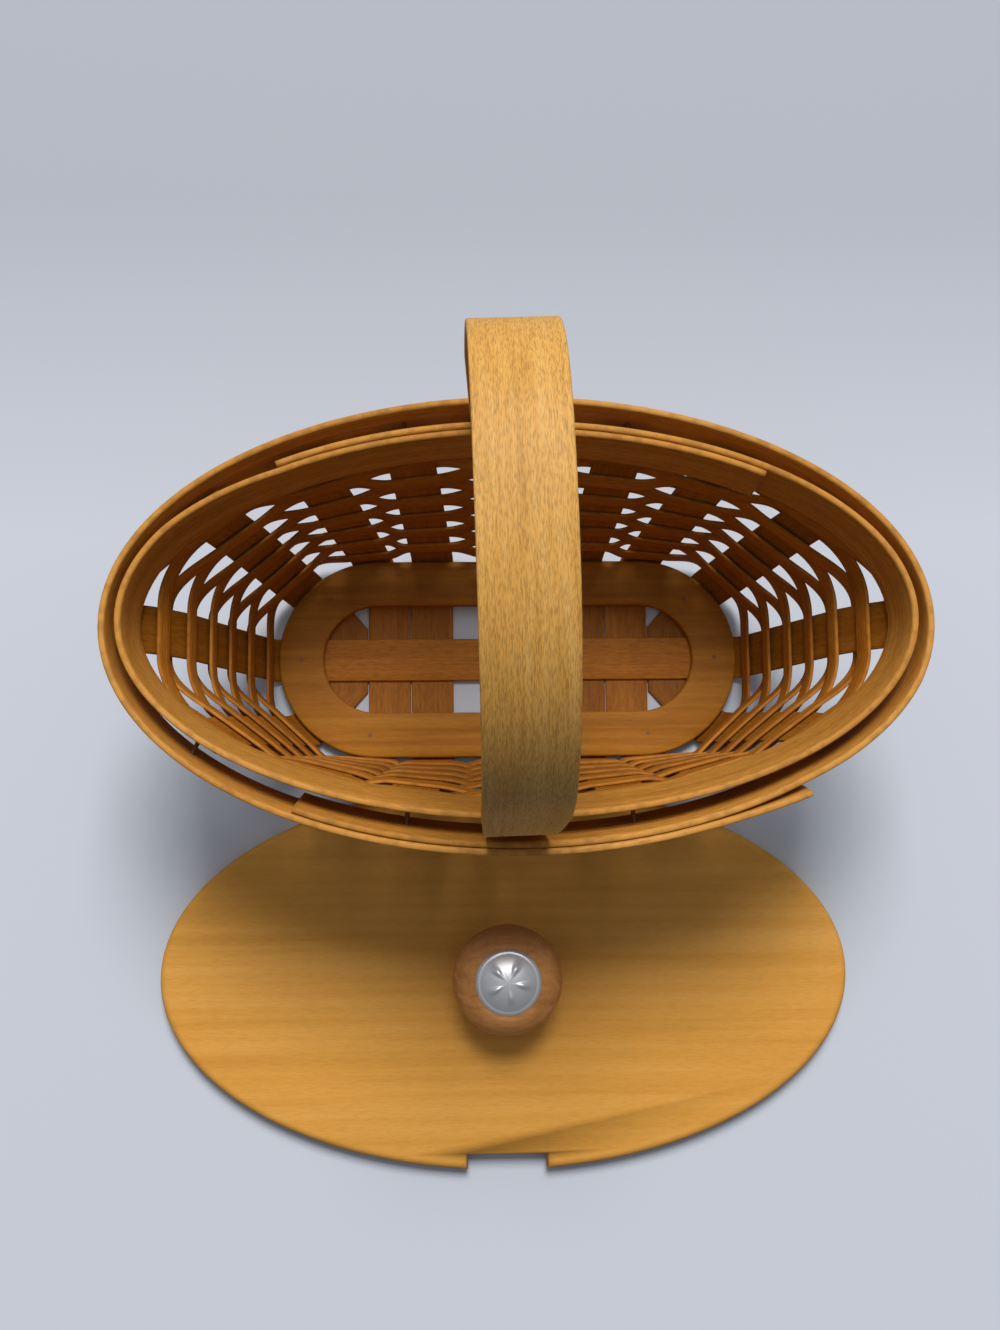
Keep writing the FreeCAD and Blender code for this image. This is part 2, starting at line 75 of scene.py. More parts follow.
camera_data = bpy.data.cameras.new("camera")
camera = bpy.data.objects.new("camera", camera_data)
bpy.context.scene.collection.objects.link(camera)
bpy.context.scene.camera = camera
tilt = turned_about("X", camera_turns[0]) @ turned_about("Y", camera_turns[1])
world_to_camera = turned_about("Z", camera_turns[2]) @ tilt
pose = np.eye(4)
pose[:3, :3] = world_to_camera.T
pose[:3, 3] = (-world_to_camera.T @ np.array(camera_shift) + (0, 0, rim_height)) * mm
camera.matrix_world = Matrix(pose.tolist())
camera_data.sensor_width = sensor_width
camera_data.lens = focal_pixels * sensor_width / picture_height
camera_data.clip_start = 0.01

# %% [markdown]
# ## The wall as a surface
# The wall is one surface with two parameters. The first is the place round the basket, counted
# in stakes from 0 to 16, counterclockwise from the right end. The second is the height. At the
# bottom the surface follows the outline of the base ring. From there it rises nearly straight
# towards an ellipse, turns outwards below the bands and stands nearly upright between them.
# Stakes, weavers and bands all take their shape from it.

# %% Write the wall's formulas, in mm
splint_thickness = 1.0
splint_width = 13.0
splint_gap = 0.3
crosswise_per_side = 3
first_splint_share = 0.333
outer_flat_half = 10.0
layer_gap = 0.05
ring_half_length = 71.1
ring_half_width = 30.6
ring_band_width = 13.9
ring_thickness = 3.5
ring_side_gap = 0.4
wall_half_length = 104.8
wall_half_width = 52.8
wall_shift = 1.4
straight_side_in = 2.5
straight_shift = 1.2
turn_depth = 24.0
heel_bulge = 0.01
band_height = 16.0
band_lean = 0.13
near_lean = 0.17
foot_shares = (0.0, 0.26, 0.47, 0.73, 1.0)
fan_step = 16.3
fan_power = 6
stake_end_drop = 5.5

quarter = crosswise_per_side + 1
stake_count = 4 * quarter
base_radius = ring_half_width + ring_side_gap + splint_thickness / 2
base_straight = ring_half_length - ring_half_width
base_level = splint_thickness / 2
band_bottom = rim_height - band_height


def unit(vectors):
    """Vectors divided by their own length."""
    return vectors / np.linalg.norm(vectors, axis=-1, keepdims=True)


def folded(place):
    """Side of the basket and number of stakes from the middle of that side."""
    side, part = np.divmod(np.mod(place, stake_count), quarter)
    return side, np.where(side % 2 == 0, quarter - part, part)


def rim_angle(place):
    """Angle round the rim ellipse. Stakes crowd at the sides and spread to the ends."""
    side, step = folded(place)
    fan = fan_step * step + (90 - fan_step * quarter) * (step / quarter) ** fan_power
    return np.radians(np.where(side < 2, 90, 270) + np.where(side % 2 == 0, -fan, fan))


def base_outline(place):
    """Point and outward direction on the outline just outside the base ring."""
    side, step = folded(place)
    way = np.interp(step, range(quarter + 1), foot_shares) * (base_straight + base_radius * np.pi / 2)
    turn = np.maximum(0, way - base_straight) / base_radius
    x, y = np.minimum(way, base_straight) + base_radius * np.sin(turn), base_radius * np.cos(turn)
    sides = np.stack([np.where((side == 0) | (side == 3), 1, -1), np.where(side < 2, 1, -1)], -1)
    return np.stack([x, y], -1) * sides, np.stack([np.sin(turn), np.cos(turn)], -1) * sides


def rim_outline(place):
    """Point and outward direction on the ellipse at the height of the rim."""
    angle = rim_angle(place)
    c, s = np.cos(angle), np.sin(angle)
    point = np.stack([wall_half_length * c, wall_shift + wall_half_width * s], -1)
    return point, unit(np.stack([c / wall_half_length, s / wall_half_width], -1))


def share(height):
    """How far the wall has gone from the base to the rim."""
    part = (height - base_level) / (rim_height - base_level)
    return part + heel_bulge * np.sin(np.pi * np.minimum(2 * part, 1))


def wall(place, height, out=0.0):
    """Point of the wall, moved outwards by out, and the level outward direction there."""
    place, height, out = np.broadcast_arrays(place, height, out)
    (low, low_out), (rim, rim_out) = base_outline(place), rim_outline(place)
    angle = rim_angle(place)
    narrow_width = wall_half_width - straight_side_in
    narrow_y = wall_shift + straight_shift + narrow_width * np.sin(angle)
    narrow = np.stack([wall_half_length * np.cos(angle), narrow_y], -1)
    lean = (band_lean + near_lean * np.clip(-np.sin(angle), 0, 1))[..., None]
    height_part = height[..., None]
    turn = np.clip(1 - (band_bottom - height_part) / turn_depth, 0, 1) ** 2
    missing = rim - rim_out * lean * band_height - low - (narrow - low) * share(band_bottom)
    below = low + (narrow - low) * share(height_part) + missing * turn
    between = rim - rim_out * lean * (rim_height - height_part)
    part = np.clip((height_part - base_level) / (band_bottom - base_level), 0, 1)
    normal = unit(low_out + (rim_out - low_out) * part)
    level = np.where(height_part >= band_bottom, between, below) + normal * out[..., None]
    return np.concatenate([level, height_part], -1), np.concatenate([normal, 0 * height_part], -1)


# %% [markdown]
# ## From a surface to a strip of wood
# A strip has a section, a rectangle with rounded edges, given as points (across, through). A
# function of the station along the strip and the distance across it says where the middle
# surface lies and which way its face looks. The strip also gets a map in metres, along and
# across, which the grain follows, and a tone of its own.

# %% Write the strip builder
end_map_shift = 3.0
map_slant = 0.37


def section(width, thickness, edge, columns, corner):
    """Rounded rectangle as rows of (across, through), counterclockwise from the lower left.

    It has columns steps across each broad side and corner steps in each rounded edge.
    """
    edge = min(edge, thickness / 2 - 0.01)
    turn = np.linspace(0, np.pi / 2, corner + 1)
    points = []
    for n, (sx, sy) in enumerate(((-1, -1), (1, -1), (1, 1), (-1, 1))):
        arc = turn + np.pi + n * np.pi / 2
        centre = np.array([sx * (width / 2 - edge), sy * (thickness / 2 - edge)])
        points.append(centre + edge * np.stack([np.cos(arc), np.sin(arc)], -1))
    flat = np.linspace(0, 1, columns + 1)[1:-1, None]
    bottom = points[0][-1] + (points[1][0] - points[0][-1]) * flat
    top = points[2][-1] + (points[3][0] - points[2][-1]) * flat
    return np.vstack([points[0], bottom, points[1], points[2], top, points[3]])


def grid_faces(rows, columns, closed):
    """Quads between the rows of a grid whose columns close into a ring."""
    i, j = np.meshgrid(np.arange(rows if closed else rows - 1), np.arange(columns), indexing="ij")
    i2, j2 = (i + 1) % rows, (j + 1) % columns
    corners = (i * columns + j, i * columns + j2, i2 * columns + j2, i2 * columns + j)
    return np.stack(corners, -1).reshape(-1, 4)


def end_faces(rows, columns):
    """The two faces that close a grid's first and last row."""
    return [list(range(columns))[::-1], list(range((rows - 1) * columns, rows * columns))]


def mesh_object(name, points, faces, uv, tone=1.0):
    """Object of a mesh, with a map position for each corner of each face.

    tone is one number for all points or one number for each.
    """
    mesh = bpy.data.meshes.new(name)
    mesh.from_pydata((np.asarray(points) * mm).tolist(), [], faces)
    layer = mesh.uv_layers.new(name="grain")
    layer.data.foreach_set("uv", (np.asarray(uv, float) * mm).ravel())
    mesh.polygons.foreach_set("use_smooth", [True] * len(mesh.polygons))
    colours = mesh.attributes.new("tone", "FLOAT_COLOR", "POINT")
    tones = np.broadcast_to(np.asarray(tone, float), (len(mesh.vertices),))
    colours.data.foreach_set("color", np.stack([tones, tones, tones, np.ones_like(tones)], -1).ravel())
    mesh.update()
    piece = bpy.data.objects.new(name, mesh)
    bpy.context.scene.collection.objects.link(piece)
    return piece


def strip(name, surface, stations, outline, closed=False, tone=1.0, map_start=0.0):
    """Strip of wood: its section carried along the stations of a middle surface."""
    place, face = surface(stations[:, None], np.broadcast_to(outline[:, 0], (len(stations), len(outline))))
    through = outline[None, :, 1, None]
    points = place + face * through
    rows, columns = points.shape[:2]
    faces = grid_faces(rows, columns, closed)
    middle = points.mean(1)
    run = np.concatenate([[0], np.cumsum(np.linalg.norm(np.diff(middle, axis=0), axis=1))])
    i, j = faces // columns, faces % columns
    uv = np.stack([run[i] + map_start, outline[j, 0] + map_start * map_slant], -1)
    if closed:
        wrapped = (i.min(1) == 0) & (i.max(1) == rows - 1)
        seam = run[-1] + np.linalg.norm(middle[0] - middle[-1])
        uv[wrapped, :, 0] = np.where(i[wrapped] == 0, seam, run[i[wrapped]]) + map_start
    uv = uv.reshape(-1, 2)
    faces = faces.tolist()
    if not closed:
        for corners in end_faces(rows, columns):
            faces.append(corners)
            uv = np.vstack([uv, outline[np.array(corners) % columns] + (map_start + end_map_shift, 0)])
    return mesh_object(name, points.reshape(-1, 3), faces, uv, tone)


def stands_for(piece, node, body, material):
    """The piece takes the place of a CAD node, rides on its body and gets its finish."""
    piece.data.materials.append(material)
    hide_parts(node)
    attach(piece, body)


# %% [markdown]
# ## The wood
# All the wood is hard maple under a honey-brown stain with a satin varnish. It is nearly even:
# faint streaks along the grain, a broad soft change of tone and short darker flecks, which are
# dense on the handle. Each is noise that is stretched along the grain.

# %% Write a wood finish
fleck_start, fleck_full = 0.44, 0.64
bump_height = 0.4 * mm


def linear(hex_colour):
    """Linear colour of an sRGB hex value."""
    parts = [int(hex_colour[k:k + 2], 16) / 255 for k in (1, 3, 5)]
    return [c / 12.92 if c <= 0.04045 else ((c + 0.055) / 1.055) ** 2.4 for c in parts] + [1.0]


def add(tree, kind, inputs=(), **settings):
    """Add one node, with its settings and with values or links for its inputs."""
    made = tree.nodes.new(kind)
    for key, value in settings.items():
        setattr(made, key, value)
    for key, value in dict(inputs).items():
        if isinstance(value, bpy.types.NodeSocket):
            tree.links.new(value, made.inputs[key])
        else:
            made.inputs[key].default_value = value
    return made


def new_material(name):
    """Empty material with its shader and output."""
    material = bpy.data.materials.new(name)
    material.use_nodes = True
    tree = material.node_tree
    tree.nodes.clear()
    shader = add(tree, "ShaderNodeBsdfPrincipled")
    add(tree, "ShaderNodeOutputMaterial", {"Surface": shader.outputs[0]})
    return material, tree, shader


def ramp(tree, factor, stops):
    """Colour ramp with stops of position and grey or hex colour."""
    made = add(tree, "ShaderNodeValToRGB", {"Fac": factor})
    elements = made.color_ramp.elements
    while len(elements) < len(stops):
        elements.new(0.5)
    for element, (position, colour) in zip(elements, stops):
        element.position = position
        element.color = linear(colour) if isinstance(colour, str) else [colour] * 3 + [1.0]
    return made.outputs[0]


def mixed(tree, a, b, kind="MULTIPLY", amount=1.0):
    """Two colours mixed."""
    made = add(tree, "ShaderNodeMix", data_type="RGBA", blend_type=kind)
    for socket, value in (("Factor_Float", amount), ("A_Color", a), ("B_Color", b)):
        target = next(s for s in made.inputs if s.identifier == socket)
        if isinstance(value, bpy.types.NodeSocket):
            tree.links.new(value, target)
        else:
            target.default_value = value
    return next(s for s in made.outputs if s.identifier == "Result_Color")


def wood(name, tones, streak=(45, 0.8), broad=(120, 8), fleck=(3.0, 0.4), fleck_depth=0.25,
         spread=0.30, roughness=0.55, specular=0.2, bump=0.03, on_object=False):
    """Stained maple: streaks along the grain, a broad change of tone and short dark flecks.

    tones are dark, middle and light. Each pattern is a length along the grain and a width, in mm.
    spread is how far from the middle of the noise the dark and the light tone lie.
    """
    material, tree, shader = new_material(name)
    source = add(tree, "ShaderNodeTexCoord").outputs["Object" if on_object else "UV"]

    def pattern(size, detail, distortion, offset):
        """Noise stretched to a length along and a width across the grain."""
        scale = (1 / (size[0] * mm), 1 / (size[1] * mm), 1 / (size[1] * mm))
        inputs = {"Vector": source, "Scale": scale, "Location": (offset, offset, offset)}
        placed = add(tree, "ShaderNodeMapping", inputs)
        inputs = {"Vector": placed.outputs[0], "Scale": 1.0, "Detail": detail, "Distortion": distortion}
        return add(tree, "ShaderNodeTexNoise", inputs).outputs[0]

    streaks = pattern(streak, detail=5, distortion=0.3, offset=3.1)
    wide = pattern(broad, detail=3, distortion=0.6, offset=7.7)
    flecks = pattern(fleck, detail=2, distortion=0.2, offset=1.3)
    both = add(tree, "ShaderNodeMath", {0: streaks, 1: wide}, operation="ADD")
    tone = add(tree, "ShaderNodeMath", {0: both.outputs[0], 1: 0.5}, operation="MULTIPLY").outputs[0]
    dark, middle, light = tones
    stain = ramp(tree, tone, ((0.5 - spread, dark), (0.5, middle), (0.5 + spread, light)))
    marks = ramp(tree, flecks, ((fleck_start, 1.0), (fleck_full, 1 - fleck_depth)))
    own = add(tree, "ShaderNodeAttribute", attribute_name="tone").outputs["Color"]
    colour = mixed(tree, mixed(tree, stain, marks), own)
    relief = add(tree, "ShaderNodeMath", {0: streaks, 1: flecks}, operation="SUBTRACT").outputs[0]
    bumped = add(tree, "ShaderNodeBump", {"Height": relief, "Strength": bump, "Distance": bump_height})
    tree.links.new(colour, shader.inputs["Base Color"])
    tree.links.new(bumped.outputs[0], shader.inputs["Normal"])
    shader.inputs["Roughness"].default_value = roughness
    shader.inputs["Specular IOR Level"].default_value = specular
    return material


def metal(name, colour, roughness, metallic=1.0):
    """Metal of one colour, bare or dulled."""
    material, tree, shader = new_material(name)
    shader.inputs["Base Color"].default_value = linear(colour)
    shader.inputs["Metallic"].default_value = metallic
    shader.inputs["Roughness"].default_value = roughness
    return material


stake_wood = wood("stake wood", ("#75410a", "#a06216", "#ba7f2f"), streak=(60, 1.2), spread=0.4)
weaver_wood = wood("weaver wood", ("#7d480e", "#ab6b1d", "#c68c3c"), streak=(60, 0.6))
band_wood = wood("band wood", ("#97601c", "#c58939", "#d8a255"), streak=(70, 0.9))
strap_wood = wood("strap wood", ("#b88136", "#dba654", "#e9bf78"), streak=(30, 1.2),
                  fleck=(1.8, 0.22), fleck_depth=0.36, roughness=0.5)
ring_wood = wood("ring wood", ("#7c4a08", "#a66a14", "#be872c"), streak=(90, 2.0),
                 broad=(200, 14), fleck_depth=0.12, on_object=True)
lid_wood = wood("lid wood", ("#b37722", "#dc9f46", "#eeb867"), streak=(130, 3.5),
                broad=(260, 24), fleck_depth=0.08, spread=0.45, on_object=True)
knob_wood = wood("knob wood", ("#96622f", "#c98c50", "#daa56a"), streak=(30, 2.0),
                 broad=(60, 9), fleck_depth=0.15, on_object=True)
tack_metal = metal("tack metal", "#dfe3ea", 0.38, 0.6)
brad_metal = metal("brad metal", "#6b4a26", 0.6, 0.3)
ring_brad_metal = metal("ring brad metal", "#7d4f1c", 0.6, 0.0)

# %% [markdown]
# ## Splints
# A splint starts at the top of one side, comes down as a stake, turns in a soft heel, crosses
# the bottom and stands up again on the other side. The weavers push each stake in and out a
# little, in turn with their rows.

# %% Make the splints
weaver_rows = 12
weaver_thickness = 0.9
weave_start = 5.0
row_gap = 0.3
weave_gap = 0.08
stake_ripple = 0.12
heel_reach = 4.0
flat_end = 0.2
heel_end = 0.32
flat_count, heel_count, wall_count = 5, 9, 90
row_pitch = (rim_height - band_height - weave_start) / weaver_rows


def rows_up(height):
    """Number of the weaver row at a height, as a fraction with whole numbers at row middles."""
    return (height - weave_start) / row_pitch - 0.5


def ripple(place, height):
    """Offset of a stake at a height: away from the weaver that passes there."""
    row = rows_up(height)
    inside_rows = np.clip(row + 1, 0, 1) * np.clip(weaver_rows - row, 0, 1)
    return -stake_ripple * np.cos(np.pi * (row + place)) * inside_rows


def half_splint(place, along, lift, flat_half, middle, station, shift):
    """Point and face of one half of a splint. The station runs from 0 at the middle of the bottom to 1.

    The flat part lies at middle along the bottom and reaches flat_half to the side.
    """
    along = np.array([along[0], along[1], 0.0])
    aside = np.array([-along[1], along[0], 0.0])
    foot_middle, foot_out = wall(np.array(float(place)), np.array(base_level))
    aside = aside * np.sign(foot_middle @ aside)
    agree = np.sign(np.cross([0, 0, 1.0], foot_out) @ along)

    def stand(height):
        """Point and face of the stake at a height. Across its width a stake is flat."""
        point, out = wall(float(place), height, ripple(place, height))
        return point + np.cross([0, 0, 1.0], out) * (shift * agree)[..., None], out

    level = np.full_like(station, base_level)
    heel = stand(level)[0] + (0, 0, lift)
    centre = along * (middle + shift)[..., None] + (0, 0, lift + base_level)
    flat = centre + aside * flat_half
    to_flat = flat - heel
    start = heel + to_flat * np.minimum(1, heel_reach / np.linalg.norm(to_flat, axis=-1))[..., None]
    run = np.clip(station / flat_end, 0, 1)[..., None] * 2
    bottom = centre + (flat - centre) * np.clip(run, 0, 1) + (start - flat) * np.clip(run - 1, 0, 1)
    bend = np.clip((station - flat_end) / (heel_end - flat_end), 0, 1)[..., None]
    foot = stand(level + heel_reach)[0]
    corner = start * (1 - bend) ** 2 + heel * 2 * bend * (1 - bend) + foot * bend ** 2
    climb = np.clip((station - heel_end) / (1 - heel_end), 0, 1)
    reach = rim_height - stake_end_drop - base_level - heel_reach
    up, up_out = stand(base_level + heel_reach + reach * climb)
    stage = station[..., None]
    point = np.where(stage <= flat_end, bottom, np.where(stage <= heel_end, corner, up))
    return point, unit(np.array([0, 0, -1.0]) * (1 - bend) + up_out * bend)


def splint_surface(ends, along, lift, flat_half, middle):
    """Surface of a splint. The station runs from -1 to 1, with the middle of the bottom at 0."""

    def surface(station, shift):
        """Point and face at a station and a distance across."""
        station, shift = np.broadcast_arrays(station, shift)
        halves = [half_splint(place, along, lift, flat_half, middle, abs(station), shift) for place in ends]
        return [np.where(station[..., None] < 0, halves[0][n], halves[1][n]) for n in (0, 1)]

    return surface


def splint_stations():
    """Stations close together in the heel and along the wall."""
    flat = np.linspace(0, flat_end, flat_count)
    heel = np.linspace(flat_end, heel_end, heel_count)[1:]
    up = np.linspace(heel_end, 1, wall_count)[1:]
    half = np.concatenate([flat, heel, up])
    return np.concatenate([-half[:0:-1], half])


splint_edge = 0.3
stake_tones = (0.82, 1.08)
# Painted light for the lengthwise splint where it lies on the bottom, painted shade where it stands up as
# the end stakes.
bottom_painted_light = 1.3
end_stake_painted_shade = 0.85
splint_section = section(splint_width, splint_thickness, splint_edge, columns=6, corner=2)
ring_bottom = splint_thickness + layer_gap
ring_top = ring_bottom + ring_thickness
opening_half_width = ring_half_width - ring_band_width
for index, number in enumerate(range(-crosswise_per_side, crosswise_per_side + 1), 1):
    node = "crosswise_splint_%02d" % index
    beyond = first_splint_share * ring_half_length + (abs(number) - 1) * (splint_width + splint_gap)
    flat_half = outer_flat_half if abs(number) == crosswise_per_side else opening_half_width
    ends = (3 * quarter + number, quarter - number)
    surface = splint_surface(ends, (1, 0), 0.0, flat_half, np.sign(number) * beyond)
    piece = strip(node + "_wood", surface, splint_stations(), splint_section,
                  tone=rng.uniform(*stake_tones), map_start=211.0 * index)
    stands_for(piece, node, "basket", stake_wood)
surface = splint_surface((2 * quarter, 0), (0, -1), ring_bottom, ring_half_length - ring_band_width, 0.0)
# The lengthwise splint's tone: painted light on the bottom, blending through the heels into painted shade
# on the end stakes.
tones = np.interp(abs(splint_stations()), (flat_end, heel_end), (bottom_painted_light, end_stake_painted_shade))
piece = strip("lengthwise_splint_wood", surface, splint_stations(), splint_section,
              tone=np.repeat(tones, len(splint_section)), map_start=3100.0)
stands_for(piece, "lengthwise_splint", "basket", stake_wood)

# %% [markdown]
# ## Weavers
# A weaver is in turn outside and inside of the stakes. It passes a stake in a straight line and
# goes from one stake to the next on a smooth curve that leaves and arrives along those lines.
# Its ends butt on the outer side of a stake.

# %% Make the weavers
swing = (splint_thickness + weaver_thickness) / 2 + weave_gap
weaver_stand_off = 0.6
crossing_inset = 0.3
crossing_part = 0.2


def crossing(row, place, shift):
    """Middle of a weaver at a stake and its direction there, at a distance above the row's middle.

    Where the wall turns sharply, at the ends, a straight strip can't lean with it and stands upright.
    """
    middle = weave_start + row_pitch * (row + 0.5)
    low, high = (wall(place, middle + sign * row_pitch / 2)[0] for sign in (-1, 1))
    normal = wall(place, middle + shift)[1]
    upright = 1 - np.abs(np.sin(rim_angle(place)))
    stand_off = np.clip(((high - low) * normal).sum(-1) * upright / 2, 0, weaver_stand_off)
    side = np.where((place + row) % 2 == 0, -1, 1)
    away = side * (swing + stand_off) - stand_off * shift / (row_pitch / 2)
    point = low + (high - low) * (0.5 + shift / row_pitch)[..., None] + normal * away[..., None]
    return point, np.cross([0, 0, 1.0], normal)


def weaver_surface(row):
    """Surface of one weaver row. The station is the place round the wall."""

    def surface(station, shift):
        """Point and face at a place and a distance above the row's middle."""
        place, shift = np.broadcast_arrays(station, shift)
        stake = np.floor(place)
        reach = splint_width / 2 + crossing_inset
        (start, start_way), (end, end_way) = (crossing(row, stake + n, shift) for n in (0, 1))
        leave, arrive = start + start_way * reach, end - end_way * reach
        long = np.linalg.norm(arrive - leave, axis=-1)[..., None]
        part = (place - stake)[..., None]
        t = np.clip((part - crossing_part) / (1 - 2 * crossing_part), 0, 1)
        point = leave * (1 + 2 * t) * (1 - t) ** 2 + arrive * t * t * (3 - 2 * t)
        point = point + long * (start_way * t * (1 - t) ** 2 + end_way * t * t * (t - 1))
        slope = (arrive - leave) * 6 * t * (1 - t) / long
        slope = slope + start_way * (1 - t) * (1 - 3 * t) + end_way * t * (3 * t - 2)
        point = point + start_way * reach * np.minimum(0, part / crossing_part - 1)
        point = point + end_way * reach * np.maximum(0, 1 - (1 - part) / crossing_part)
        return point, np.cross(unit(slope), [0, 0, 1.0])

    return surface


weaver_edge = 0.25
weaver_tones = (0.85, 1.1)
butt_room = 0.005
stations_per_stake = 30
weaver_section = section(row_pitch - row_gap, weaver_thickness, weaver_edge, columns=3, corner=2)
for row in range(weaver_rows):
    node = "weaver_row_%02d" % (row + 1)
    start = 2 * quarter + 1 + row % 2
    stations = start + np.linspace(butt_room, stake_count - butt_room, stake_count * stations_per_stake)
    piece = strip(node + "_wood", weaver_surface(row), stations, weaver_section,
                  tone=rng.uniform(*weaver_tones), map_start=5000.0 + 870.0 * row)
    stands_for(piece, node, "basket", weaver_wood)

# %% [markdown]
# ## Rim bands
# Each band is a bent strip that goes once round and laps over its own start. Along the lap the
# start is one layer further in. The free end of the outer band stands a little open.

# %% Make the rim bands
band_thickness = 1.8
band_layer_gap = 0.15
band_stake_gap = 0.18
outer_end_room = 3.4
outer_side_room = 7.2
sprung_lift = 1.9
inner_lap_numbers = (1.65, 6.24)
outer_lap_numbers = (9.99, 14.55)
lap_ramp_count = 1.1
sprung_count = 1.15
band_edge = 0.7


def band_surface(lap, outer):
    """Surface of a band. The station is the place round the rim."""
    end = stake_count + lap[1]

    def surface(place, shift):
        """Point and face at a place and a distance above the band's middle."""
        place, shift = np.broadcast_arrays(place, shift)
        away = -(band_thickness + band_layer_gap) * np.clip(1 - (place - lap[1]) / lap_ramp_count, 0, 1)
        if outer:
            away = away + sprung_lift * np.clip(1 - (end - place) / sprung_count, 0, 1) ** 2
            angle = rim_angle(place)
            c, s = np.cos(angle), np.sin(angle)
            long, wide = wall_half_length + outer_end_room, wall_half_width + outer_side_room
            point = np.stack([long * c, wide * s], -1)
            normal = unit(np.stack([c / long, s / wide], -1))
        else:
            point, normal = rim_outline(place)
            away = away - splint_thickness / 2 - band_stake_gap
        height = rim_height - band_height / 2 + shift
        down = (rim_height - height) / band_height
        lean = wall(place, band_bottom)[0] - wall(place, rim_height)[0]
        level = point + normal * (away - band_thickness / 2)[..., None] + lean[..., :2] * down[..., None]
        zero = np.zeros_like(height)[..., None]
        return np.concatenate([level, height[..., None]], -1), np.concatenate([normal, zero], -1)

    return surface


band_stations = 400
band_section = section(band_height, band_thickness, band_edge, columns=4, corner=4)
for node, lap, outer in (
    ("inner_rim_band", inner_lap_numbers, False),
    ("outer_rim_band", outer_lap_numbers, True),
):
    stations = np.linspace(lap[0], stake_count + lap[1], band_stations)
    piece = strip(node + "_wood", band_surface(lap, outer), stations, band_section,
                  map_start=700.0 if outer else 1900.0)
    stands_for(piece, node, "basket", band_wood)

# %% [markdown]
# ## Strap handle
# The strap is one bent strip. Its line has a straight leg at each end, between the bands, and
# an arch that is a little squarer than a half circle. The strap leans to the far side.

# %% Make the strap handle
strap_width = 21.6
strap_thickness = 2.2
strap_end_thickness = 1.5
strap_gap = 0.35
strap_turn = 1.55
strap_x = -1.5
strap_end_depth = 15.5
strap_rise = 79.0
shoulder_rise = 30.0
shoulder_out = 3.3
strap_lean = 0.17
arch_power = 2.2
arch_samples = 18
leg_samples = 4
taper_rise = 28.0
thinning_rise = 20.0
taper_right = 6.0
taper_left = 2.2
strap_edge = 0.55
strap_count = 260


def smooth_line(points, count):
    """Points along a smooth curve through the given ones (a cubic spline), and its slope."""
    points = np.asarray(points, float)
    knots = np.concatenate([[0], np.cumsum(np.linalg.norm(np.diff(points, axis=0), axis=1))])
    gaps = np.diff(knots)
    slopes = np.diff(points, axis=0) / gaps[:, None]
    size = len(points)
    matrix, right = np.eye(size), np.zeros_like(points)
    for n in range(1, size - 1):
        matrix[n, n - 1:n + 2] = gaps[n - 1], 2 * (gaps[n - 1] + gaps[n]), gaps[n]
        right[n] = 6 * (slopes[n] - slopes[n - 1])
    bends = np.linalg.solve(matrix, right)
    at = np.linspace(0, knots[-1], count)
    n = np.clip(np.searchsorted(knots, at, side="right") - 1, 0, size - 2)
    t, g = (at - knots[n])[:, None], gaps[n][:, None]
    first = slopes[n] - g * (2 * bends[n] + bends[n + 1]) / 6
    line = points[n] + t * (first + t * (bends[n] / 2 + t * (bends[n + 1] - bends[n]) / (6 * g)))
    slope = first + t * (bends[n] + t * (bends[n + 1] - bends[n]) / (2 * g))
    return line, unit(slope)


def strap_line(count):
    """Middle line of the strap as (y, z), from the near end over the top, and its slope."""
    clear = splint_thickness / 2 + strap_gap + strap_end_thickness / 2
    heights = rim_height - strap_end_depth * (1 - np.arange(leg_samples + 1) / leg_samples)
    near = np.stack([wall(3.0 * quarter, heights)[0][:, 1] - clear, heights], -1)
    far = np.stack([wall(1.0 * quarter, heights)[0][:, 1] + clear, heights], -1)
    turn = np.pi * (1 - np.arange(arch_samples + 1) / arch_samples)
    c, s = np.cos(turn), np.sin(turn)
    y = (near[-1, 0] + far[-1, 0]) / 2
    y = y + (wall_half_width + shoulder_out) * np.sign(c) * np.abs(c) ** (2 / arch_power)
    z = rim_height + shoulder_rise + (strap_rise - shoulder_rise) * np.abs(s) ** (2 / arch_power)
    arch = np.stack([y + strap_lean * (z - rim_height), z], -1)
    return smooth_line(np.vstack([near, arch, far[::-1]]), count)


strap_stations = np.arange(strap_count)
strap_middle, strap_slope = strap_line(len(strap_stations))


def strap_surface(station, shift):
    """Point and face of the strap. The face looks to the outside of the arch."""
    station, shift = np.broadcast_arrays(station, shift)
    y, z = strap_middle[station, 0], strap_middle[station, 1]
    dy, dz = strap_slope[station, 0], strap_slope[station, 1]
    taper = np.clip((rim_height + taper_rise - z) / (taper_rise + strap_end_depth + 1), 0, 1)
    right, left = strap_width / 2 - taper_right * taper, strap_width / 2 - taper_left * taper
    x = -(left + right) * shift / strap_width + (right - left) / 2
    angle = math.radians(strap_turn)
    c, s = math.cos(angle), math.sin(angle)
    place = np.stack([x * c - y * s + strap_x, x * s + y * c, z], -1)
    thin = np.clip((z - rim_height) / thinning_rise, 0, 1)
    thin = (strap_end_thickness + (strap_thickness - strap_end_thickness) * thin) / strap_thickness
    return place, np.stack([dz * s, -dz * c, dy], -1) * thin[..., None]


# The near leg's tone holds painted shade in its upper half and painted light at its foot. The
# tone is set by the rise above the rim.
leg_rises = (5, 25, 45, 62, 76)
near_leg_painted_light_and_shade = (1.25, 1.0, 0.82, 0.85, 1.0)
strap_section = section(strap_width, strap_thickness, strap_edge, columns=8, corner=4)
on_near_leg = strap_middle[:, 0] < 0
tones = np.where(on_near_leg, np.interp(strap_middle[:, 1] - rim_height, leg_rises, near_leg_painted_light_and_shade), 1.0)
piece = strip("strap_handle_wood", strap_surface, strap_stations, strap_section,
              tone=np.repeat(tones, len(strap_section)), map_start=90.0)
stands_for(piece, "strap_handle", "basket", strap_wood)

# %% [markdown]
# ## Base ring
# The ring lies on the bottom splints. Its middle line has two straight sides and round ends.

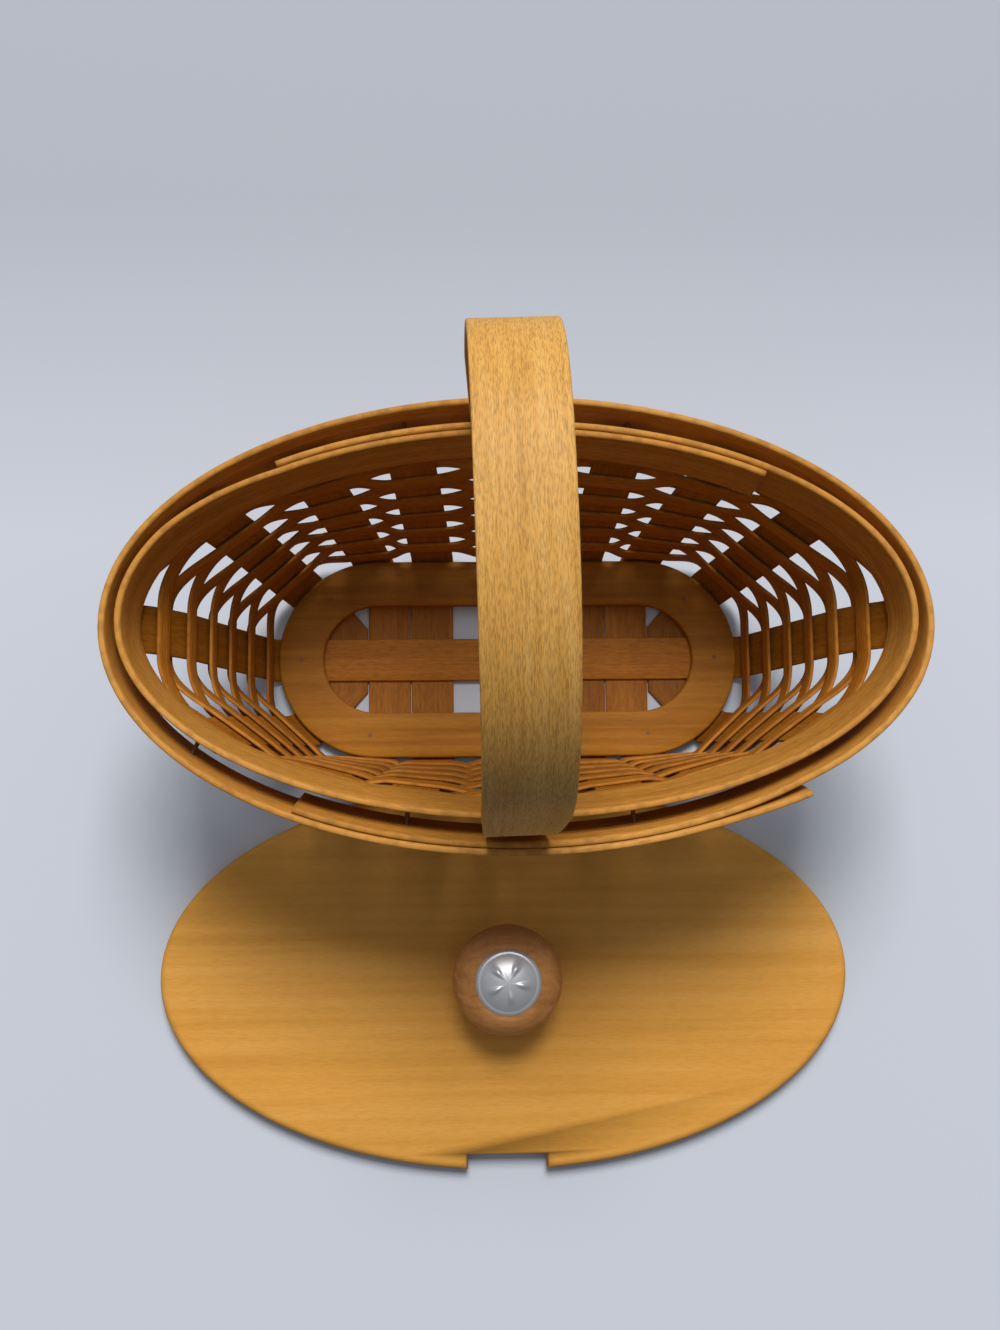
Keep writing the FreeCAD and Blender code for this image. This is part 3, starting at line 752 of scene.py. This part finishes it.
# %% Make the base ring
ring_edge = 0.8
ring_line_radius = ring_half_width - ring_band_width / 2
brad_rise = 0.04
end_stations = 48
side_stations = 6
ring_section = section(ring_band_width, ring_thickness - brad_rise, ring_edge, columns=4, corner=4)


def ring_surface(station, shift):
    """Point and face of the ring. The station goes from 0 to 4, one for each side and end."""
    station, shift = np.broadcast_arrays(station, shift)
    part, t = np.divmod(station, 1)
    radius = ring_line_radius + shift
    first_three = [part == 0, part == 1, part == 2]
    angle = np.pi * np.select(first_three, [t - 0.5, 0.5, t + 0.5], 1.5)
    centre = base_straight * np.select(first_three, [1, 1 - 2 * t, -1], 2 * t - 1)
    height = np.full_like(radius, (ring_bottom + ring_top - brad_rise) / 2)
    points = np.stack([centre + radius * np.cos(angle), radius * np.sin(angle), height], -1)
    return points, np.broadcast_to([0.0, 0.0, 1.0], points.shape)


counts = (end_stations, side_stations, end_stations, side_stations)
stretches = [n + np.linspace(0, 1, count, endpoint=False) for n, count in enumerate(counts)]
ring_stations = np.concatenate(stretches)
piece = strip("base_ring_wood", ring_surface, ring_stations, ring_section, closed=True, map_start=4100.0)
stands_for(piece, "base_ring", "basket", ring_wood)

# %% [markdown]
# ## Lid, knob and tack
# The lid is a flat oval board with rounded edges and a notch on each side for the handle.

# %% Make the lid
lid_low, lid_high = (np.array(corner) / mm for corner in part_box("lid_board"))
lid_centre = (lid_low + lid_high) / 2
lid_half_length = (lid_high - lid_low)[0] / 2
lid_half_width = 57.5
lid_thickness = lid_high[2]
lid_top_radius = 2.4
lid_bottom_radius = 1.2
lid_notch_side_gap = 1.0
lid_notch_gap = 0.8
lid_corner_ease = 0.5
lid_arc_points = 121
lid_edge_points = 7
notch_half = strap_width / 2 + lid_notch_side_gap
notch_from = wall_half_width + splint_thickness / 2 + strap_gap - lid_notch_gap


def lid_outline(inset):
    """Outline of the lid, moved inwards by inset, counterclockwise."""
    long, wide = lid_half_length - inset, lid_half_width - inset
    ease = min(inset, lid_corner_ease)
    half, stop = notch_half + ease, notch_from - ease
    away = math.acos(half / long)
    right = np.linspace(-away, away, lid_arc_points)
    arc = np.stack([long * np.cos(right), wide * np.sin(right)], -1)
    corners = np.array([[half, stop], [-half, stop]])
    half_outline = np.vstack([arc, corners])
    return np.vstack([half_outline, -half_outline])


def lid_rows():
    """Inset and height of each row, from the middle of the underside round to the top."""
    turn = np.linspace(0, np.pi / 2, lid_edge_points)
    top, bottom = lid_top_radius, lid_bottom_radius
    low = [(bottom * (1 - np.sin(a)), bottom * (1 - np.cos(a))) for a in turn]
    high = [(top * (1 - np.cos(a)), lid_thickness - top * (1 - np.sin(a))) for a in turn]
    return low + high


def stacked(name, points):
    """Closed shape through level rows of points, from below, with its map seen from above."""
    rows, columns = points.shape[:2]
    faces = grid_faces(rows, columns, False).tolist() + end_faces(rows, columns)
    flat = points.reshape(-1, 3)
    return mesh_object(name, flat, faces, np.vstack([flat[face][:, :2] for face in faces]))


rows = []
for inset, height in lid_rows():
    outline = lid_outline(inset)
    rows.append(np.column_stack([outline, np.full(len(outline), height)]))
piece = stacked("lid_board_wood", np.array(rows) + (lid_centre[0], lid_centre[1], 0))
stands_for(piece, "lid_board", "lid", lid_wood)

# %% Make the knob and the tack
def turned(name, profile, centre, segments=128, relief=None):
    """Shape turned about an upright axis. profile is rows of (radius, height), from below."""
    angle = np.linspace(0, 2 * np.pi, segments, endpoint=False)
    radius, height = np.array(profile).T
    circle = np.stack([np.cos(angle), np.sin(angle)], -1)
    level = radius[:, None, None] * circle[None] + centre[:2]
    up = np.broadcast_to(height[:, None], level.shape[:2])
    if relief is not None:
        up = up + relief(radius[:, None], angle[None])
    return stacked(name, np.concatenate([level, up[..., None]], -1))


def arc_through(a, b, c, count):
    """Points on the circular arc from a over b to c."""
    (ax, ay), (bx, by), (cx, cy) = a, b, c
    d = 2 * (ax * (by - cy) + bx * (cy - ay) + cx * (ay - by))
    a2, b2, c2 = ax ** 2 + ay ** 2, bx ** 2 + by ** 2, cx ** 2 + cy ** 2
    ux = (a2 * (by - cy) + b2 * (cy - ay) + c2 * (ay - by)) / d
    uy = (a2 * (cx - bx) + b2 * (ax - cx) + c2 * (bx - ax)) / d
    start, middle, end = (math.atan2(y - uy, x - ux) for x, y in (a, b, c))
    if not min(start, end) <= middle <= max(start, end):
        end += math.copysign(2 * math.pi, start - end)
    radius = math.hypot(ax - ux, ay - uy)
    turn = np.linspace(start, end, count)
    return [(ux + radius * math.cos(t), uy + radius * math.sin(t)) for t in turn]


knob_low, knob_high = (np.array(corner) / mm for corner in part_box("lid_knob"))
knob_foot_radius = 10.0
knob_neck_radius = 9.2
knob_foot_height = 9.0
knob_head_radius = (knob_high[0] - knob_low[0]) / 2
knob_head_height = knob_high[2] - lid_thickness - knob_foot_height
tack_radius = 9.5
tack_rise = 3.0
foot_top = lid_thickness + knob_foot_height
head_top = knob_high[2]
widest = foot_top + 0.45 * knob_head_height
knob_start, knob_waist = (knob_foot_radius, lid_thickness), (knob_foot_radius, foot_top)
knob_side, knob_end = (knob_head_radius, widest), (1.1 * tack_radius, head_top)
over_neck = (knob_neck_radius, lid_thickness + 0.6 * knob_foot_height)
over_underside = (0.9 * knob_head_radius, foot_top + 0.16 * knob_head_height)
over_shoulder = (0.89 * knob_head_radius, widest + 0.35 * knob_head_height)
knob_profile = arc_through(knob_start, over_neck, knob_waist, 12)
knob_profile += arc_through(knob_waist, over_underside, knob_side, 16)[1:]
knob_profile += arc_through(knob_side, over_shoulder, knob_end, 16)[1:]
piece = turned("lid_knob_wood", knob_profile, lid_centre)
stands_for(piece, "lid_knob", "lid", knob_wood)


petal_count = 5
petal_rise, petal_middle, petal_reach, petal_turn = 0.45, 4.4, 1.7, 0.8
edge_rise, edge_middle, edge_reach = 0.2, 8.8, 0.4


def rosette(radius, angle):
    """Relief of the tack: broad petals inside a plain raised edge."""
    between = np.clip(np.cos(petal_count * angle + petal_turn), 0, 1) ** 2
    petals = petal_rise * np.exp(-((radius - petal_middle) / petal_reach) ** 2) * between
    return petals + edge_rise * np.exp(-((radius - edge_middle) / edge_reach) ** 2)


ball_radius = (tack_radius ** 2 + tack_rise ** 2) / (2 * tack_rise)
tack_edge = math.asin(tack_radius / ball_radius)
tack_middle = 0.004
tack_rows, tack_segments = 60, 240
tack_profile = [(ball_radius * math.sin(t), head_top + tack_rise - ball_radius * (1 - math.cos(t)))
                for t in np.linspace(tack_edge, tack_middle, tack_rows)]
piece = turned("knob_tack_metal", tack_profile, lid_centre, tack_segments, rosette)
stands_for(piece, "knob_tack", "lid", tack_metal)

# %% Finish of the CAD nodes that stay: brads and screw
for node, slot, material in (
    ("rim_brads", "brad_metal", brad_metal),
    ("knob_screw", "screw_metal", brad_metal),
    ("base_ring_brads", "brad_metal", ring_brad_metal),
):
    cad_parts[node].data.materials.clear()
    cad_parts[node].data.materials.append(material)

# %% [markdown]
# ## Floor and light
# The basket stands on a pale grey-blue surface. The light is broad and comes from high up on
# the far side, so the inside of the far wall is in its own shadow and the near rim shades the
# lid. The room is dim on the near side. The surface has painted shade: its colour turns a little
# darker to the far side. It has a second, duller colour for the light that it throws back at the
# wood, and the room itself looks as pale as the surface.

# %% Make the floor and the light
near_colour = linear("#c6cfde")
# The far colour is painted shade: it darkens the floor towards the far side.
far_painted_shade_colour = linear("#adb5c3")
bounce_colour = linear("#8f949d")
turn_from, turn_to = 40 * mm, 150 * mm
floor_roughness = 0.9
floor_half = 3.0
floor_drop = 0.2 * mm

floor_material, tree, shader = new_material("floor")
seen = add(tree, "ShaderNodeLightPath").outputs["Is Camera Ray"]
place = add(tree, "ShaderNodeSeparateXYZ", {"Vector": add(tree, "ShaderNodeTexCoord").outputs["Object"]})
inputs = {"Value": place.outputs["Y"], "From Min": turn_from, "From Max": turn_to}
painted_shade_part = add(tree, "ShaderNodeMapRange", inputs)
surface_colour = mixed(tree, near_colour, far_painted_shade_colour, "MIX", painted_shade_part.outputs[0])
floor_colour = mixed(tree, bounce_colour, surface_colour, "MIX", seen)
tree.links.new(floor_colour, shader.inputs["Base Color"])
shader.inputs["Roughness"].default_value = floor_roughness
floor_mesh = bpy.data.meshes.new("floor")
corners = [(x * floor_half, y * floor_half, 0) for x, y in ((-1, -1), (1, -1), (1, 1), (-1, 1))]
floor_mesh.from_pydata(corners, [], [(0, 1, 2, 3)])
floor = bpy.data.objects.new("floor", floor_mesh)
floor.data.materials.append(floor_material)
floor.location.z = -floor_drop
bpy.context.scene.collection.objects.link(floor)


def area_light(name, place, target, size, power, colour):
    """Square lamp that looks at a target."""
    data = bpy.data.lights.new(name, "AREA")
    data.size = size
    data.energy = power
    data.color = linear(colour)[:3]
    lamp = bpy.data.objects.new(name, data)
    lamp.location = place
    lamp.rotation_euler = (Vector(target) - Vector(place)).to_track_quat("-Z", "Y").to_euler()
    bpy.context.scene.collection.objects.link(lamp)


area_light("window", place=(0.1, 2.29, 3.66), target=(0, 0, 0.05), size=1.7, power=178, colour="#fff9f2")

bright_side = (0.0, 0.55, 0.83)
dim_strength, bright_strength, shown_strength = 0.08, 0.5, 0.6
world = bpy.data.worlds.new("world")
bpy.context.scene.world = world
world.use_nodes = True
tree = world.node_tree
direction = add(tree, "ShaderNodeTexCoord").outputs["Generated"]
facing = add(tree, "ShaderNodeVectorMath", {0: direction, 1: bright_side}, operation="DOT_PRODUCT")
inputs = {"Value": facing.outputs["Value"], "From Min": 0.1, "From Max": 1.0}
inputs.update({"To Min": dim_strength, "To Max": bright_strength})
strength = add(tree, "ShaderNodeMapRange", inputs)
background = tree.nodes["Background"]
background.inputs["Color"].default_value = linear("#eef0f4")
seen = add(tree, "ShaderNodeLightPath").outputs["Is Camera Ray"]
shown = add(tree, "ShaderNodeMath", {0: seen, 1: shown_strength}, operation="MULTIPLY")
strongest = add(tree, "ShaderNodeMath", {0: strength.outputs[0], 1: shown.outputs[0]}, operation="MAXIMUM")
tree.links.new(strongest.outputs[0], background.inputs["Strength"])
bpy.context.scene.view_settings.view_transform = "Standard"
